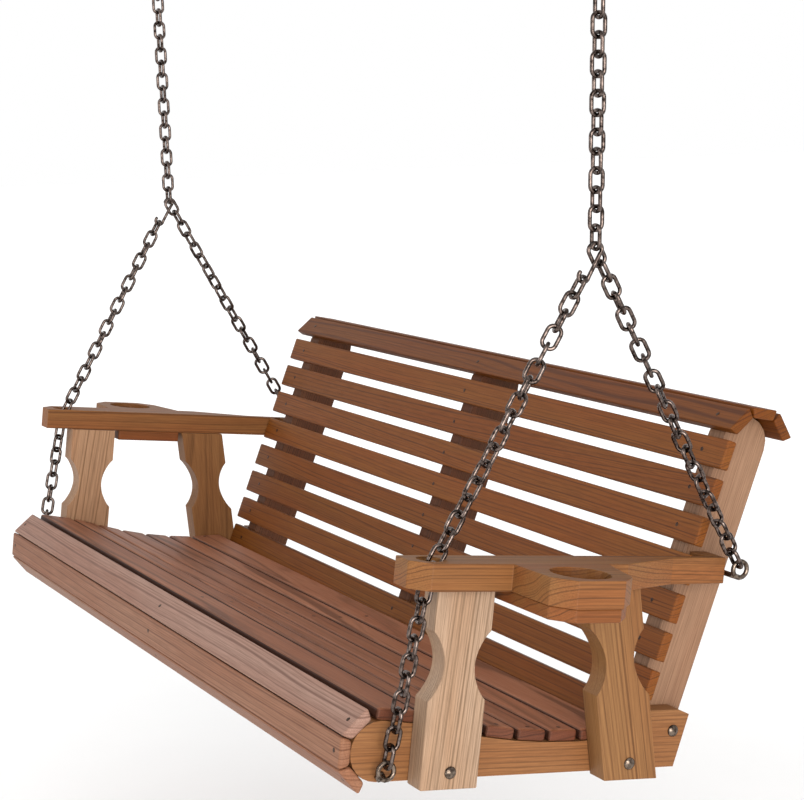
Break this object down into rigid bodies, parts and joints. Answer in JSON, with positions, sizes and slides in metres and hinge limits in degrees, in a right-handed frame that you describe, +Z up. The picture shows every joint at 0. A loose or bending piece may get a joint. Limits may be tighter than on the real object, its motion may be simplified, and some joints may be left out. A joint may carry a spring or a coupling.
{
  "type": "porch swing",
  "caption": "Slatted wooden porch swing with dished seat, rolled back and cup-holder arms, hung on chains from two ceiling hangers.",
  "frame": {"origin": "on the ceiling surface, midway between the two ceiling hangers", "axes": "+X along the bench, +Y towards its back, +Z up; the sitter faces -Y"},
  "size_m": [1.884, 0.7501, 1.7794],
  "materials": {
    "front_slat_wood": "stained, satin, weathered greyish",
    "seat_slat_wood": "stained, satin, purplish brown",
    "back_slat_wood": "stained, satin, orange brown",
    "rail_wood": "stained, satin, light tan",
    "back_post_wood": "stained, satin, pinkish tan",
    "arm_post_wood": "stained, satin, strong vertical grain",
    "arm_wood": "stained, satin, orange edge",
    "chain_steel": "zinc plated, dulled",
    "bolt_steel": "zinc plated",
    "hanger_steel": "black"
  },
  "bodies": {
    "hangers": {"ceiling_hanger_right": "hanger_steel", "ceiling_hanger_left": "hanger_steel"},
    "upper_chains": {"upper_chain_right": "chain_steel", "upper_chain_left": "chain_steel"},
    "seat": {"seat_rail_right": "rail_wood", "seat_rail_left": "rail_wood", "seat_rail_centre": "rail_wood", "back_post_right": "back_post_wood", "back_post_left": "back_post_wood", "back_post_centre": "back_post_wood", "front_slat_upper": "front_slat_wood", "front_slat_middle": "front_slat_wood", "front_slat_lower": "front_slat_wood", "seat_slat_1": "seat_slat_wood", "seat_slat_2": "seat_slat_wood", "seat_slat_3": "seat_slat_wood", "seat_slat_4": "seat_slat_wood", "seat_slat_5": "seat_slat_wood", "seat_slat_6": "seat_slat_wood", "seat_slat_7": "seat_slat_wood", "back_slat_1": "back_slat_wood", "back_slat_2": "back_slat_wood", "back_slat_3": "back_slat_wood", "back_slat_4": "back_slat_wood", "back_slat_5": "back_slat_wood", "back_slat_6": "back_slat_wood", "back_slat_7": "back_slat_wood", "back_slat_8": "back_slat_wood", "roll_slat_front": "back_slat_wood", "roll_slat_top": "back_slat_wood", "roll_slat_rear": "back_slat_wood", "arm_right": "arm_wood", "arm_left": "arm_wood", "cup_floor_right": "arm_wood", "cup_floor_left": "arm_wood", "arm_post_front_right": "arm_post_wood", "arm_post_front_left": "arm_post_wood", "arm_post_rear_right": "arm_post_wood", "arm_post_rear_left": "arm_post_wood", "bolt_arm_front_right": "bolt_steel", "bolt_arm_front_left": "bolt_steel", "bolt_arm_rear_right": "bolt_steel", "bolt_arm_rear_left": "bolt_steel", "bolt_back_right": "bolt_steel", "bolt_back_left": "bolt_steel", "bolt_centre": "bolt_steel", "eye_bolt_front_right": "bolt_steel", "eye_bolt_front_left": "bolt_steel", "eye_bolt_rear_right": "bolt_steel", "eye_bolt_rear_left": "bolt_steel", "chain_hook_right": "chain_steel", "chain_hook_left": "chain_steel", "front_chain_right": "chain_steel", "front_chain_left": "chain_steel", "rear_chain_right": "chain_steel", "rear_chain_left": "chain_steel"}
  },
  "joints": [
    {"name": "swing", "type": "hinge", "parent": "hangers", "child": "upper_chains", "pos_m": [0, 0, -0.042], "axis": [1, 0, 0], "range_deg": [-30, 30]},
    {"name": "seat_tilt", "type": "hinge", "parent": "upper_chains", "child": "seat", "pos_m": [0, 0, -1.01], "axis": [1, 0, 0], "range_deg": [-20, 20]}
  ]
}
